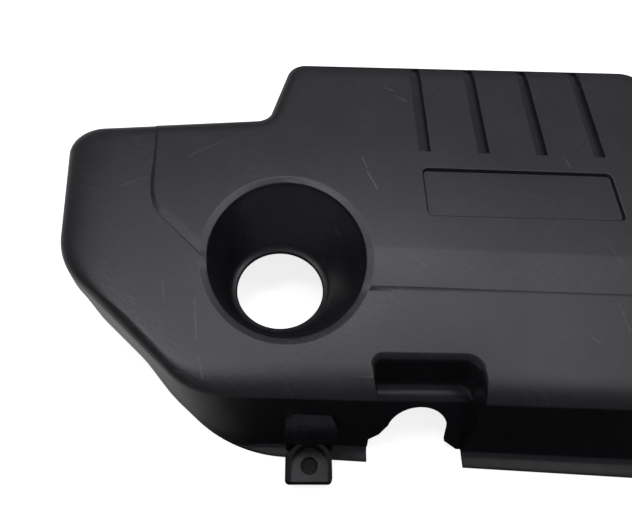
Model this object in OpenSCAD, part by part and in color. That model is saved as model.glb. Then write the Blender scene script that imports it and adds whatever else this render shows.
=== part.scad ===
/* [Cover] */
// Height of the raised panel above the rim
height = 104; // [90:1:120]
// Thickness of the moulded wall
wall = 3; // [2.5:0.1:3.5]
// Middle of the cover to its left end
left_x = 315; // [305:1:330]
// Middle of the cover to its right end
right_x = 303; // [295:1:330]
// Middle of the cover to the front wall, at the diagonal wall
front_y = 167; // [163:1:173]
// Middle of the cover to the back wall of the tall block, at its left end
back_y = 202; // [190:1:220]
// Middle of the cover to the back wall of the wing, at its left end
wing_back_y = 100; // [90:1:110]
// Left end of the tall block, left of the middle
block_left_x = 97; // [86:1:104]
// How far the left end leans to the right towards the front
left_lean = 19; // [10:1:26]
// How much further forward the front wall is at its right end
front_spread = 12; // [0:1:20]
// How much further back the back walls are at their right ends
back_spread = 10; // [0:1:16]
// Where the left end meets the diagonal wall, in front of the middle
diagonal_back_y = 50; // [42:1:58]
// Where the diagonal wall meets the front wall, left of the middle
diagonal_front_x = 171; // [162:1:180]

/* [Shoulder and rim] */
// Width of the rounded shoulder along the front wall
front_shoulder_w = 30; // [20:1:32]
// Width of the rounded shoulder along the back wall of the tall block
back_shoulder_w = 28; // [20:1:34]
// Width of the rounded shoulder along the right end
right_shoulder_w = 24; // [18:1:32]
// Width of the rounded shoulder along the diagonal wall
diagonal_shoulder_w = 12; // [8:1:16]
// Width of the rounded shoulder between the wing and the tall block
block_shoulder_w = 17; // [14:1:20]
// Width of the rounded shoulder along the back wall of the wing
wing_shoulder_w = 22; // [18:1:26]
// Drop of the rounded shoulder along the walls
shoulder_drop = 16; // [13:1:19]
// Squareness of the shoulder: 2 is an ellipse, and more eases into the flat top
shoulder_power = 2.4; // [2:0.1:2.8]
// Width over which the wing curves down to its left end
wing_crown_w = 64; // [46:1:72]
// Drop of the wing at its back left corner
wing_drop = 22; // [19:1:26]
// Outward lean of the front wall from shoulder to rim, left end
front_flare = 24; // [20:1:30]
// Outward lean of the front wall from shoulder to rim, right end
front_flare_right = 37; // [30:1:40]
// Outward lean of the back walls
back_flare = 6; // [3:1:10]
// Outward lean of the left end
left_flare = 3; // [1:1:6]
// Outward lean of the right end
right_flare = 9; // [4:1:12]
// Height of the wing's own rim above the main rim
wing_rim_z = 48; // [40:1:54]
// Length of the raised rim from the left end
wing_rim_w = 98; // [90:1:104]
// Height of the rim under the left end above the main rim
end_rim_z = 70; // [60:1:74]
// Length of that higher rim
end_rim_w = 42; // [30:1:50]
// Length of the bank between the two rims
bank_w = 14; // [10:1:18]
// Length of the flatter foot of that bank
bank_foot_w = 8; // [4:1:12]

/* [Raised panel] */
// Depth of the surround below the panel
panel_step = 3.2; // [1.5:0.1:4]
// Line of the step in front of the panel, from the middle
step_y = 75; // [70:1:82]
// Width of the sloping strip behind the step
strip_w = 37; // [25:1:40]
// Drop of the sloping strip
strip_drop = 1.4; // [0.5:0.1:1.4]
// Fall of the surround towards the front wall, in degrees
front_fall = 1.8; // [0:0.1:2.4]
// Line where that fall begins, in front of the middle
fall_y = 50; // [46:1:56]
// Rise of the surround from that line towards the back of the wing, in degrees
wing_rise = 0.8; // [0:0.1:1]
// Crease across the wing, left of the middle
crease_x = 227; // [217:1:230]

/* [Filler funnel] */
// Middle of the filler hole, left of the middle
hole_x = 103.5; // [97:0.5:110]
// Middle of the filler hole, in front of the middle
hole_y = 52; // [48:0.5:58]
// Diameter of the filler hole
hole_d = 80; // [70:1:84]
// Height of the lip round the filler hole above the rim
lip_z = 54; // [45:1:62]
// Height of the lip from its lower end to its top
lip_h = 7; // [7:0.5:12]
// Radius of the rolled edge of the lip
lip_r = 3.5; // [2:0.5:3.5]
// Half width of the funnel mouth, side to side
mouth_rx = 69.5; // [64:0.5:74]
// Half length of the funnel mouth, front to back
mouth_ry = 77; // [72:0.5:80]
// Mouth centre to the right of the hole centre
mouth_shift_x = 5.5; // [0:0.5:8]
// Mouth centre behind the hole centre
mouth_shift_y = 9; // [0:0.5:12]
// Width of the shallow chamfer round the mouth
mouth_chamfer_w = 6.5; // [4:0.5:8]
// Depth of the shallow chamfer round the mouth
mouth_chamfer_h = 2; // [1:0.1:3]

/* [Grooves and recess] */
// Number of grooves over the back shoulder
grooves = 4; // [1:1:4]
// First groove, right of the middle
groove_x = 35.5; // [28:0.5:43]
// Distance between grooves
groove_pitch = 59.3; // [50:0.1:62]
// Width of a groove's floor
groove_w = 9.2; // [6:0.2:12]
// Depth of a groove
groove_depth = 2.6; // [1.5:0.1:3.5]
// Front end of the grooves, behind the middle
groove_front_y = 77; // [70:1:90]
// How far a groove's side leans out from its floor to the top
groove_draft = 1.3; // [0.5:0.1:2]
// Share of the back shoulder's width that the grooves run over, in percent
groove_end = 72; // [50:1:78]
// Middle of the recess, right of the middle
recess_x = 125; // [118:1:133]
// Middle of the recess, behind the middle
recess_y = 28.5; // [22:0.5:32]
// Width of the recess
recess_w = 189; // [150:1:195]
// Length of the recess, front to back
recess_l = 56; // [40:1:60]
// Depth of the recess
recess_depth = 2.6; // [1.5:0.1:3.5]
// Corner radius of the recess at the top
recess_r = 6; // [5:0.5:9]
// How far the recess's sides lean out from its floor to the top
recess_draft = 4; // [1:0.5:4.5]

/* [Front pocket] */
// Left side of the pocket, left of the middle
pocket_left_x = 31; // [26:1:34]
// How far the pocket's left side leans in from top to rim
pocket_draft = 9; // [2:1:10]
// Right side of the pocket, right of the middle
pocket_right_x = 64; // [60:1:70]
// Back of the pocket at the top, in front of the middle
pocket_back_y = 133; // [129:1:139]
// Back of the pocket at the ledge, in front of the middle
ledge_back_y = 145; // [143:1:147]
// Front edge of the ledge, in front of the middle
ledge_front_y = 157; // [155:1:159]
// Height of the ledge above the rim
ledge_z = 58; // [55:1:62]
// Foot of the wall below the ledge, in front of the middle
pocket_foot_y = 186; // [181:1:189]
// Corner radius of the pocket
pocket_r = 13; // [5:0.5:14]
// Middle of the arched notch, right of the middle
arch_x = 20; // [16:0.5:24]
// Diameter of the arched notch
arch_d = 54; // [46:1:58]
// Top of the arched notch above the rim
arch_top_z = 48.5; // [44:0.5:50]
// Width of the sloping foot left of the arched notch
arch_foot_w = 15; // [8:0.5:18]
// Height of the sloping foot left of the arched notch
arch_foot_h = 28; // [18:1:28]

/* [Front lug] */
// Middle of the lug, left of the middle
lug_x = 75; // [72:1:79]
// Width of the lug at its top
lug_w = 43; // [40:1:48]
// Width of the lug at its foot
lug_foot_w = 38; // [36:1:40]
// Radius of the lug's upper corners
lug_r = 12; // [6:1:16]
// Height of the lug above the rim
lug_z = 67; // [60:1:72]
// Height above the rim at which the lug's steep face ends, over the eye
lug_knee_z = 34; // [26:1:46]
// Front end of the lug, in front of the middle
lug_front_y = 217; // [215:1:221]
// Middle of the lug's eye, in front of the middle
eye_y = 204; // [202:1:205]
// Width of the open niche over the eye
niche_w = 32; // [28:1:34]
// Top of the lug's floor above the rim
lug_floor_z = 15; // [13:0.5:18]
// Thickness of the lug's floor
lug_floor_t = 4; // [3:0.5:5]
// Diameter of the eye in the lug's floor
eye_d = 15; // [12:0.5:16]

/* [Fixings] */
// Diameter of the ball stud that a grommet takes
stud_d = 10; // [8:0.5:11]
// Diameter of a grommet's body
grommet_d = 19; // [17:0.5:21]
// Height of a grommet's body
grommet_h = 11; // [9:0.5:12]
// Diameter of a grommet's flange
flange_d = 24; // [22:0.5:26]
// Thickness of a grommet's flange
flange_t = 2; // [1.5:0.1:3]
// Clearance round a grommet in its socket
grommet_gap = 0.2; // [0.1:0.05:0.4]
// Thickness of a socket's wall
socket_wall = 3; // [2:0.5:4]
// Height of the mouths of the three inner sockets above the rim
socket_z = 46; // [36:1:60]
// Inner sockets behind the middle
socket_back_y = 159; // [146:1:166]
// Rear left socket, left of the middle
socket_left_x = 42; // [32:1:52]
// Right sockets, right of the middle
socket_right_x = 250; // [233:1:258]
// Front right socket, in front of the middle
socket_front_y = 119; // [104:1:129]
// Width of the gussets that brace a socket
gusset_w = 20; // [14:1:28]

/* [Ribs inside] */
// Thickness of a rib
rib_t = 2.2; // [1.6:0.1:3]
// Depth of a rib below the top wall
rib_h = 11; // [6:1:14]
// Distance between ribs
rib_pitch = 62; // [50:1:80]

/* [Hidden] */

cover_colour = "#303134";
rubber_colour = "#1c1c1e";
$fn = 64;

// Steps in a corner of the outline, and degrees in a step of the shoulder
corner_steps = 9;
shoulder_step = 15;
// How far cuts run past a surface, and past the outline of the cover
over = 1;
far = 60;
// How far the cuts beside the panel rise above it, and how deep they reach
rise = 6;
region_depth = 30;
// How far the low form's rounded top stands past the flat cut that finishes it
lift = 0.05;
// A point inside every level outline of the cover
form_middle = [0, 20];

// Corners of the outline, anticlockwise from the back of the wing, where the walls meet the shoulder
wing_join_x = 23;
wing_join_spread = 19;
top_corners = [
    [-left_x, wing_back_y],
    [-left_x + left_lean, -diagonal_back_y],
    [-diagonal_front_x, -front_y],
    [right_x, -front_y - front_spread],
    [right_x, back_y + back_spread],
    [-block_left_x, back_y],
    [-block_left_x - wing_join_x, wing_back_y + wing_join_spread]];

// The same corners at the rim
diagonal_flare = 2;
diagonal_shift = 29;
rim_corners = [
    top_corners[0] + [-left_flare, back_flare],
    top_corners[1] + [-left_flare, -diagonal_flare],
    top_corners[2] + [diagonal_shift, -front_flare],
    top_corners[3] + [right_flare, -front_flare_right],
    top_corners[4] + [right_flare, back_flare],
    top_corners[5] + [-back_flare, back_flare],
    top_corners[6] + [-back_flare, back_flare]];

top_radii = [26, 80, 70, 35, 32, 22, 16];
rim_radii = [28, 82, 130, 40, 36, 26, 12];

// Drop of the shoulder at each corner, and its width along each wall from that corner on
drops = [wing_drop, wing_drop - 3, shoulder_drop, shoulder_drop, shoulder_drop, shoulder_drop, shoulder_drop];
shoulders = [wing_crown_w, diagonal_shoulder_w, front_shoulder_w, right_shoulder_w, back_shoulder_w,
             block_shoulder_w, wing_shoulder_w];

// Share of the outward lean and of the wall's height at each level of the wall: a flange, then the wall
wall_levels = [[1, 0], [0.66, 0.03], [0.55, 0.08], [0.5, 0.16], [0, 1]];
// The hollow inside begins at this level, so that the flange below it is solid
hollow_level = 2;

function unit(v) = v / norm(v);
function side(a, b, c) = cross(b - a, c - b) >= 0 ? 1 : -1;

// Corner b moved inward by d1 from the wall before it and by d2 from the wall after it
function inset(a, b, c, d1, d2) =
    let (u = unit(a - b), v = unit(c - b))
    b + side(a, b, c) * (u * d2 + v * d1) / abs(cross(u, v));

// Points of the rounded corner b between walls a-b and b-c
function arc(a, b, c, r) =
    let (u = unit(a - b), v = unit(c - b), half = acos(u * v) / 2, turn = 180 - 2 * half,
         middle = b + unit(u + v) * r / sin(half),
         start = b + u * r / tan(half) - middle,
         end = b + v * r / tan(half) - middle)
    [for (i = [0:corner_steps])
        middle + (start * sin(turn * (1 - i / corner_steps)) + end * sin(turn * i / corner_steps)) / sin(turn)];

// One closed ring of points: corners moved inward by a distance for each wall, at a height for each corner
function ring(corners, radii, insets, heights) =
    let (n = len(corners),
         moved = [for (k = [0:n - 1])
             inset(corners[(k + n - 1) % n], corners[k], corners[(k + 1) % n], insets[(k + n - 1) % n], insets[k])])
    [for (k = [0:n - 1])
        let (a = moved[(k + n - 1) % n], b = moved[k], c = moved[(k + 1) % n],
             closer = min(insets[(k + n - 1) % n], insets[k]),
             r = max(3, radii[k] - side(a, b, c) * closer))
        for (p = arc(a, b, c, r)) [p.x, p.y, heights[k]]];

function lerp(a, b, t) = a * (1 - t) + b * t;

// Rings of the moulded form, drawn in by a thickness all round and at the top
function wall_ring(level, t, z_shift) =
    ring(lerp(top_corners, rim_corners, level[0]), lerp(top_radii, rim_radii, level[0]),
         [for (w = shoulders) t], [for (d = drops) (height - d) * level[1] + z_shift]);
function shoulder_ring(angle, t, low) =
    let (across = pow(cos(angle), 2 / shoulder_power), up = pow(sin(angle), 2 / shoulder_power))
    [for (p = ring(top_corners, top_radii, [for (w = shoulders) t + (w - t) * (1 - across)],
                   [for (d = drops) height - d]))
        [p.x, p.y, lerp(p.z, (low ? surround_z(p.y) + lift : height) - t, up)]];
function form_rings(t, z_shift, low) = let (first = t > 0 ? hollow_level : 0) [
    wall_ring([wall_levels[first][0], 0], t, z_shift),
    for (i = [max(1, first):len(wall_levels) - 1]) wall_ring(wall_levels[i], t, 0),
    for (angle = [shoulder_step:shoulder_step:90]) shoulder_ring(angle, t, low)];

// Height of the surround: falling towards the front wall, and rising a little towards the back of the wing
function surround_z(y) =
    height - panel_step - max(0, -fall_y - y) * tan(front_fall) + max(0, fall_y + y) * tan(wing_rise);

// A closed solid through rings of equal length. A middle, where one is given, closes ends that are level
module loft(rings, middle = undef) {
    n = len(rings[0]);
    m = len(rings);
    flat = is_undef(middle);
    ends = flat ? [] : [
        [middle.x, middle.y, rings[0][0].z],
        [middle.x, middle.y, rings[m - 1][0].z]];
    points = [for (r = rings) each r, each ends];
    sides = [
        for (j = [0:m - 2], i = [0:n - 1])
            let (k = (i + 1) % n)
            each [[j * n + i, (j + 1) * n + k, j * n + k], [j * n + i, (j + 1) * n + i, (j + 1) * n + k]]];
    bottom = flat ? [[for (i = [0:n - 1]) i]] : [for (i = [0:n - 1]) [n * m, i, (i + 1) % n]];
    top = flat
        ? [[for (i = [n - 1:-1:0]) (m - 1) * n + i]]
        : [for (i = [0:n - 1]) [n * m + 1, (m - 1) * n + (i + 1) % n, (m - 1) * n + i]];
    polyhedron(points, concat(sides, bottom, top));
}

module moulded_form(t, z_shift) {
    loft(form_rings(t, z_shift, false), form_middle);
}

// The same form with its top at the level of the surround
module low_form(t) {
    rings = form_rings(t, 0, true);
    top_ring = [for (p = rings[len(rings) - 1]) [p.x, p.y, height + over]];
    difference() {
        loft([each rings, top_ring], form_middle);
        along_cover([
            [wing_back_y + far, surround_z(wing_back_y + far) - t],
            [-fall_y, surround_z(-fall_y) - t],
            [-front_y - far, surround_z(-front_y - far) - t],
            [-front_y - far, height + rise],
            [wing_back_y + far, height + rise]]);
    }
}

// A profile of points behind the middle and up, drawn out over the whole length of the cover
module along_cover(profile) {
    translate([-left_x - far, 0, 0])
        rotate([90, 0, 90])
            linear_extrude(left_x + right_x + 2 * far)
                polygon(profile);
}

// Everything in front of the panel's step, and above the strip that slopes down to it
module front_region() {
    foot_y = -step_y - (panel_step - strip_drop);
    translate([0, 0, height])
        along_cover([
            [-step_y + strip_w, 0],
            [-step_y, -strip_drop],
            [foot_y, -panel_step],
            [foot_y, -region_depth],
            [-front_y - far, -region_depth],
            [-front_y - far, rise],
            [-step_y + strip_w, rise]]);
}

// Everything left of the panel's crease, with a sloping edge
module wing_region() {
    edge = [
        [-crease_x - 6, wing_back_y + far],
        [-crease_x + 2, 29],
        [-crease_x + 4, 16],
        [-crease_x + 8, 4],
        [-crease_x + 15, -6],
        [-crease_x + 75, -66]];
    slope = [[0.5, 0], [0.5, 0], [0.7, 0.1], [0.9, 0.5], [1.4, 1.4], [2.2, 2.2]];
    outer = [
        [-crease_x + 75, -front_y - far],
        [-left_x - far, -front_y - far],
        [-left_x - far, wing_back_y + far]];
    n = len(edge);
    function at(grow, z) = [
        for (i = [len(outer) - 1:-1:0]) [outer[i].x, outer[i].y, z],
        for (i = [n - 1:-1:0]) [edge[i].x + slope[i].x * grow, edge[i].y + slope[i].y * grow, z]];
    loft([at(0, height - region_depth), at(0, height - panel_step), at(panel_step + rise, height + rise)],
         [-left_x, -front_y]);
}

// What is taken off the form beside and in front of the panel, to leave the surround
module surround_space(t) {
    difference() {
        translate([0, 0, -t]) {
            front_region();
            wing_region();
        }
        low_form(t);
    }
}

hole_centre = [-hole_x, -hole_y];
mouth_centre = hole_centre + [mouth_shift_x, mouth_shift_y];
throat_r = hole_d / 2 + lip_r;

function clamp(v) = min(1, max(0, v));

// Share of the way from the panel down to the surround, at a point of the funnel's mouth
function lowered(p) = max(clamp(0.5 - (p.x + p.y + crease_x - 9) / 12), clamp(0.5 - (p.y + step_y) / 8));

// Height of the cover's top at a point of the funnel's mouth
function mouth_z(p) =
    let (strip = strip_drop * clamp((strip_w - step_y - p.y) / strip_w), s = lowered(p))
    (height - strip) * (1 - s) + (surround_z(p.y)) * s;

// Points of an oval, grown by a distance
function oval(centre, rx, ry, grow) = [
    for (a = [0:5:355])
        [centre.x + (rx + grow) * cos(a), centre.y + (ry + grow) * sin(a)]];
function throat_ring(grow, z) = [for (p = oval(hole_centre, throat_r, throat_r, grow)) [p.x, p.y, z]];
function mouth_ring(grow, shift) = [
    for (p = oval(mouth_centre, mouth_rx, mouth_ry, grow))
        [p.x, p.y, mouth_z(p) + shift]];

// The open space of the funnel, grown by a thickness
module funnel_space(t) {
    past = 1.5;
    top_ring = [for (p = mouth_ring(mouth_chamfer_w * past + t, 0)) [p.x, p.y, height + rise]];
    loft([
        throat_ring(t, lip_z - t),
        throat_ring(2.5 + t, lip_z + 2),
        mouth_ring(t, -mouth_chamfer_h),
        mouth_ring(mouth_chamfer_w * past + t, mouth_chamfer_h * (past - 1)),
        top_ring],
        hole_centre);
}

// The rolled lip and the cylindrical wall round the filler hole
module hole_wall() {
    translate([hole_centre.x, hole_centre.y, 0])
        rotate_extrude()
            union() {
                translate([hole_d / 2, lip_z - lip_h]) square([2 * lip_r, lip_h - lip_r]);
                translate([hole_d / 2 + lip_r, lip_z - lip_r]) circle(lip_r);
                translate([hole_d / 2 + lip_r, lip_z - lip_r - wall / 2]) square([lip_r + wall, wall + 1]);
            }
}

// A section of a groove, square to the surface at a place given by its distance back, height and tilt
function groove_ring(x, t, place) =
    let (half = groove_w / 2 + t, lean = groove_draft, depth = groove_depth + t,
         section = [[half + lean, rise], [half + lean, 0], [half, -depth],
                    [-half, -depth], [-half - lean, 0], [-half - lean, rise]])
    [for (p = section) [x + p[0], place[0] + p[1] * sin(place[2]), place[1] + p[1] * cos(place[2])]];

// A groove runs along the top and over part of the back shoulder, to a flat end
module groove_space(x, t) {
    back = back_y + back_spread * (x + block_left_x) / (right_x + block_left_x);
    w = back_shoulder_w;
    steps = 6;
    path = [
        [groove_front_y - t, height, 0],
        [back - w, height, 0],
        for (i = [1:steps])
            let (along = (groove_end / 100 + t / w) * i / steps,
                 up = pow(1 - pow(along, shoulder_power), 1 / shoulder_power))
            [back - w * (1 - along), height - shoulder_drop * (1 - up),
             atan(shoulder_drop / w * pow(along / up, shoulder_power - 1))]];
    loft([for (place = path) groove_ring(x, t, place)]);
}

module each_groove(t) {
    for (i = [0:grooves - 1])
        groove_space(groove_x + i * groove_pitch, t);
}

// The open space of the shallow recess with its sloping sides, grown by a thickness
module recess_space(t) {
    loft([
        recess_ring(t - recess_draft, height - recess_depth - t),
        recess_ring(t, height - t),
        recess_ring(t, height + over)],
        [recess_x, recess_y]);
}

function recess_ring(grow, z) =
    let (w = recess_w / 2, l = recess_l / 2)
    ring([
        [recess_x - w, recess_y - l],
        [recess_x + w, recess_y - l],
        [recess_x + w, recess_y + l],
        [recess_x - w, recess_y + l]],
        [for (i = [1:4]) recess_r], [for (i = [1:4]) -grow], [for (i = [1:4]) z]);

// The open space of the front pocket, grown by a thickness
module pocket_space(t) {
    front_end = front_y + far;
    intersection() {
        translate([-pocket_left_x - 20, 0, 0])
            rotate([90, 0, 90])
                linear_extrude(pocket_left_x + pocket_right_x + 40)
                    offset(t + 2)
                        offset(-2)
                            polygon([
                                [-pocket_back_y, height + 10],
                                [-ledge_back_y, ledge_z],
                                [-ledge_front_y, ledge_z],
                                [-pocket_foot_y, 0],
                                [-pocket_foot_y, -20],
                                [-front_end, -20],
                                [-front_end, height + 10]]);
        loft([pocket_ring(t, pocket_draft, -10), pocket_ring(t, 0, height + 10)], [0, -front_y]);
    }
}

// Outline of the pocket seen from above, grown by a thickness, its left side moved in
function pocket_ring(t, draft, z) =
    ring([
        [-pocket_left_x + draft, -pocket_back_y],
        [-pocket_left_x + draft, -front_y - far],
        [pocket_right_x, -front_y - far],
        [pocket_right_x, -pocket_back_y]],
        [pocket_r, 3, 3, pocket_r], [-t, -t, -t, -t], [z, z, z, z]);

// The arched notch through the wall below the ledge
module arch_space() {
    r = arch_d / 2;
    middle_z = arch_top_z - r;
    translate([arch_x, -ledge_back_y - 3, 0])
        rotate([90, 0, 0])
            linear_extrude(80)
                union() {
                    translate([0, middle_z]) circle(r);
                    translate([-r, -5]) square([2 * r, middle_z + 5]);
                    polygon([
                        [-r + over, arch_foot_h],
                        [-r - arch_foot_w * 0.4, arch_foot_h * 0.62],
                        [-r - arch_foot_w, arch_foot_h * 0.4],
                        [-r - arch_foot_w - 2, -5],
                        [-r + over, -5]]);
                    polygon([
                        [r - over, arch_foot_h * 0.45],
                        [r, arch_foot_h * 0.45],
                        [pocket_right_x - arch_x - 4, 0],
                        [pocket_right_x - arch_x - 4, -5],
                        [r - over, -5]]);
                }
}

// The lug on the front wall, drawn in by a thickness and then open in front below its floor
module lug_form(t) {
    root_y = -front_y + 10;
    rise = lug_z - t;
    foot_z = t > 0 ? -over : 0;
    mouth_y = t > 0 ? -lug_front_y - over : -lug_front_y;
    intersection() {
        translate([-lug_x - lug_w, 0, 0])
            rotate([90, 0, 90])
                linear_extrude(2 * lug_w)
                    polygon([
                        [root_y, foot_z],
                        [root_y, rise],
                        [-front_y - 12 + t, rise],
                        [-front_y - 20 + t, rise - 6],
                        [niche_w / 2 - eye_y - 1 + t, lug_knee_z],
                        [-lug_front_y + t, lug_floor_z - 1],
                        [-lug_front_y + t, lug_floor_z - lug_floor_t],
                        [mouth_y, lug_floor_z - lug_floor_t],
                        [mouth_y, foot_z]]);
        translate([-lug_x, root_y, 0])
            rotate([90, 0, 0])
                linear_extrude(lug_front_y + root_y + 2 * over)
                    offset(lug_r - t)
                        offset(-lug_r)
                            polygon([
                                [-lug_foot_w / 2, -lug_r * 2],
                                [lug_foot_w / 2, -lug_r * 2],
                                [lug_w / 2, lug_z],
                                [-lug_w / 2, lug_z]]);
    }
}

// The open niche over the lug's floor, grown by a thickness
module niche_space(t) {
    translate([-lug_x, -eye_y, lug_floor_z - (t > 0 ? lug_floor_t : 0)])
        linear_extrude(lug_z)
            union() {
                circle(niche_w / 2 + t);
                translate([-niche_w / 2 - t, -40]) square([niche_w + 2 * t, 40]);
            }
}

socket_bore_d = grommet_d + 2 * grommet_gap;
socket_d = socket_bore_d + 2 * socket_wall;
inner_sockets = [
    [-socket_left_x, socket_back_y],
    [socket_right_x, socket_back_y],
    [socket_right_x, -socket_front_y]];

// A stalk with four gussets that reaches from the top wall down to a socket's mouth
module socket_stalk(place) {
    gusset_low = socket_z + grommet_h + 4;
    translate([place.x, place.y, socket_z])
        cylinder(d = socket_d, h = height - socket_z);
    for (size = [[socket_d + gusset_w, rib_t], [rib_t, socket_d + gusset_w]])
        translate([place.x - size.x / 2, place.y - size.y / 2, gusset_low])
            cube([size.x, size.y, height - gusset_low]);
}

module lug_socket() {
    translate([-lug_x, -eye_y, flange_t])
        cylinder(d = socket_d, h = lug_floor_z - lug_floor_t / 2 - flange_t);
}

module socket_bores() {
    for (place = inner_sockets)
        translate([place.x, place.y, socket_z - over])
            cylinder(d = socket_bore_d, h = grommet_h + over);
    translate([-lug_x, -eye_y, -over])
        cylinder(d = socket_bore_d, h = lug_floor_z - lug_floor_t + over);
    translate([-lug_x, -eye_y, -over])
        cylinder(d = eye_d, h = lug_floor_z + 2 * over);
}

// Stiffening ribs under the top wall
module ribs() {
    low = height - wall - rib_h;
    for (x = [-rib_pitch * 4:rib_pitch:right_x])
        translate([x - rib_t / 2, -front_y - 10, low]) cube([rib_t, front_y + back_y + 20, rib_h + wall]);
    for (y = [-rib_pitch * 2:rib_pitch:back_y])
        translate([-left_x, y - rib_t / 2, low]) cube([left_x + right_x, rib_t, rib_h + wall]);
}

// The bottom of the wing is cut away up to its own rim
module wing_rim_space() {
    translate([-left_x, wing_back_y + far, 0])
        rotate([90, 0, 0])
            linear_extrude(wing_back_y + front_y + far + 20)
                polygon([
                    [-far, -5],
                    [-far, end_rim_z],
                    [end_rim_w, end_rim_z],
                    [end_rim_w + 12, wing_rim_z],
                    [wing_rim_w - 6, wing_rim_z],
                    [wing_rim_w, wing_rim_z - 4],
                    [wing_rim_w + bank_w, 6],
                    [wing_rim_w + bank_w + bank_foot_w, 0],
                    [wing_rim_w + bank_w + bank_foot_w + 4, -5]]);
}

module outside() {
    difference() {
        union() {
            moulded_form(0, 0);
            lug_form(0);
        }
        surround_space(0);
        each_groove(0);
        recess_space(0);
        pocket_space(0);
        niche_space(0);
    }
}

module inside() {
    difference() {
        union() {
            moulded_form(wall, -over);
            lug_form(wall);
        }
        surround_space(wall);
        each_groove(wall);
        recess_space(wall);
        pocket_space(wall);
        niche_space(wall);
        funnel_space(wall);
        for (place = inner_sockets) socket_stalk(place);
        lug_socket();
        ribs();
    }
}

module cover_shell() {
    color(cover_colour)
        difference() {
            union() {
                difference() {
                    outside();
                    inside();
                }
                hole_wall();
            }
            funnel_space(0);
            translate([hole_centre.x, hole_centre.y, 0]) cylinder(d = hole_d, h = height);
            arch_space();
            wing_rim_space();
            socket_bores();
        }
}

// A rubber grommet with a bore for the neck and a round seat for the ball, its mouth at the origin
module grommet(body_h) {
    seat_depth = stud_d * 0.7;
    difference() {
        union() {
            cylinder(d = grommet_d, h = body_h);
            translate([0, 0, -flange_t]) cylinder(d = flange_d, h = flange_t);
        }
        translate([0, 0, -flange_t - over]) cylinder(d = stud_d, h = seat_depth + flange_t + over - stud_d / 2);
        translate([0, 0, seat_depth - stud_d / 2]) sphere(d = stud_d);
    }
}

module inner_grommet(place) {
    color(rubber_colour)
        translate([place.x, place.y, socket_z])
            grommet(grommet_h);
}

module grommet_lug() {
    color(rubber_colour)
        translate([-lug_x, -eye_y, flange_t])
            grommet(lug_floor_z - lug_floor_t - flange_t);
}

cover_shell();
grommet_lug();
inner_grommet(inner_sockets[0]);  // grommet_rear_left
inner_grommet(inner_sockets[1]);  // grommet_rear_right
inner_grommet(inner_sockets[2]);  // grommet_front_right
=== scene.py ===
"""Looks of a moulded engine cover and its rubber grommets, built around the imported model."""
import math

import bmesh
import bpy
import numpy as np
from mathutils import Matrix, Vector


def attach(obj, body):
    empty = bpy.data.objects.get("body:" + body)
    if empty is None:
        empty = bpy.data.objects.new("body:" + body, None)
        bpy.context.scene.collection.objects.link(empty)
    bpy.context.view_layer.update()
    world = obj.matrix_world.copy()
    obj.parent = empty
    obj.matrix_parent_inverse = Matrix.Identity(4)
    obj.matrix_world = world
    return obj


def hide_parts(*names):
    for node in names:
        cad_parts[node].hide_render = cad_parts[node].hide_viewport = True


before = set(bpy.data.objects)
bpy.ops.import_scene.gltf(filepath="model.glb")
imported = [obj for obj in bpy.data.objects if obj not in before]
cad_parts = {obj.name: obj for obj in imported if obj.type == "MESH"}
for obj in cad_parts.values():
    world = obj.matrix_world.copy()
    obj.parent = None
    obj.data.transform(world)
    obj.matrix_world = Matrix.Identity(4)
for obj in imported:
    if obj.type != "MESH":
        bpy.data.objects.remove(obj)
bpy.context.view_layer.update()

# All sizes below are in millimetres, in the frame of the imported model.
MM = 0.001

# Cutting tools end this far out, well clear of the part.
FAR = 400
FAR_FRONT = -260
FAR_BACK = 160

# The moulded form
HEIGHT = 104
LEFT_X = -315
WALL = 3
FRONT_FLARE = 24
BACK_FLARE = 6
LEFT_FLARE = 3
RIGHT_FLARE = 9
TOP_CORNERS = [(LEFT_X, 100), (-296, -50), (-171, -167), (303, -179), (303, 212), (-97, 202), (-120, 119)]
RIM_SHIFTS = [(-LEFT_FLARE, BACK_FLARE), (-LEFT_FLARE, -2), (29, -FRONT_FLARE), (RIGHT_FLARE, -37),
              (RIGHT_FLARE, BACK_FLARE), (-BACK_FLARE, BACK_FLARE), (-BACK_FLARE, BACK_FLARE)]
TOP_RADII = [26, 80, 70, 35, 32, 22, 16]
RIM_RADII = [28, 82, 130, 40, 36, 26, 12]
SHOULDER_DROPS = [22, 19, 16, 16, 16, 16, 16]
SHOULDER_WIDTHS = [64, 12, 30, 24, 28, 17, 22]
# How square the shoulder is: 2 is an ellipse, and more than 2 eases into the flat top with no line.
SHOULDER_POWER = 2.4
# The wall's foot: share of the outward lean, share of the height, and slope. A flange on the right, a curl on the left.
FLANGE = [(1, 0, 0), (1, 0.017, -0.5), (0.96, 0.026, -18), (0.66, 0.032, -18), (0.55, 0.08, -1.1), (0.5, 0.16, -0.6)]
CURL = [(1, 0, -9), (0.84, 0.03, -4.1), (0.68, 0.08, -2.2), (0.5, 0.16, -0.6)]
# The flange fades out between these places along the front wall.
FLANGE_FADE = (-150, -105)
# The hollow inside begins at this share, so that the flange below it is solid.
HOLLOW_SHARE = 0.55

# The wing's own rim, with a bank down to the main rim
WING_RIM_Z = 48
WING_RIM_W = 98
END_RIM_Z = 70
END_RIM_W = 42
BANK_W = 14
BANK_FOOT_W = 8

# The raised panel
PANEL_STEP = 3.2
STEP_Y = 72.5
STEP_W = 5
# How far the step has come forward where the cutting tools end on the right
STEP_AHEAD = 6.5
STRIP_W = 37
STRIP_DROP = 2.8
# Half the width of the soft crease at the strip's head
CREASE_HALF = 1.5
FRONT_FALL = math.radians(1.8)
FALL_Y = -50
# The fall begins softly, over this length to each side of its line.
FALL_EASE = 25
WING_RISE = math.radians(0.8)
CREASE_X = 227
REGION_DEPTH = 30

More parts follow.
